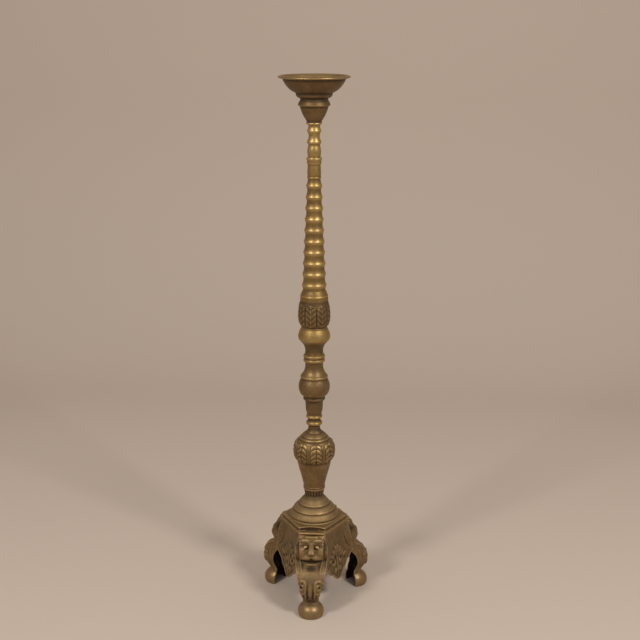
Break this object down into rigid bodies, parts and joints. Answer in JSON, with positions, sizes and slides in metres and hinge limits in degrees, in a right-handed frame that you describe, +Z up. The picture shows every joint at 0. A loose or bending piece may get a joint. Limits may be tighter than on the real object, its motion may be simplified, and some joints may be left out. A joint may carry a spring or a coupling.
{
  "type": "torchere candle stand",
  "caption": "Floor candle stand of aged brass: lion-mask tripod base, stem of turned castings on a tie rod, and a wide drip pan.",
  "frame": {"origin": "on the stem's axis at floor level, midway between the three feet", "axes": "+Z up along the stem; the front leg points along -Y, the other two towards +X+Y and -X+Y"},
  "size_m": [0.234, 0.2075, 1.1029],
  "materials": {
    "base_brass": "cast, brown patina, worn crests",
    "stem_brass": "turned, aged golden brown",
    "pan_brass": "turned, dark olive-brown patina",
    "steel": "dull, greyed"
  },
  "bodies": {
    "root": {"leg_front": "base_brass", "leg_right": "base_brass", "leg_left": "base_brass", "apron_right": "base_brass", "apron_back": "base_brass", "apron_left": "base_brass", "base_cornice": "base_brass", "leg_screws": "steel", "apron_screws": "steel", "base_bridge": "steel", "rod_washer": "steel", "rod_nut": "steel", "tie_rod": "steel", "base_dome": "base_brass", "fluted_collar": "stem_brass", "vase": "stem_brass", "neck_beads": "stem_brass", "lower_cup": "stem_brass", "ball_knop": "stem_brass", "flared_cap": "stem_brass", "ring_reel": "stem_brass", "mushroom_knop": "stem_brass", "leaf_sleeve": "stem_brass", "ringed_shaft": "stem_brass", "band_collar": "stem_brass", "small_baluster": "stem_brass", "socket_cup": "pan_brass", "drip_pan": "pan_brass", "pan_washer": "pan_brass", "pan_nut": "pan_brass"}
  },
  "joints": []
}
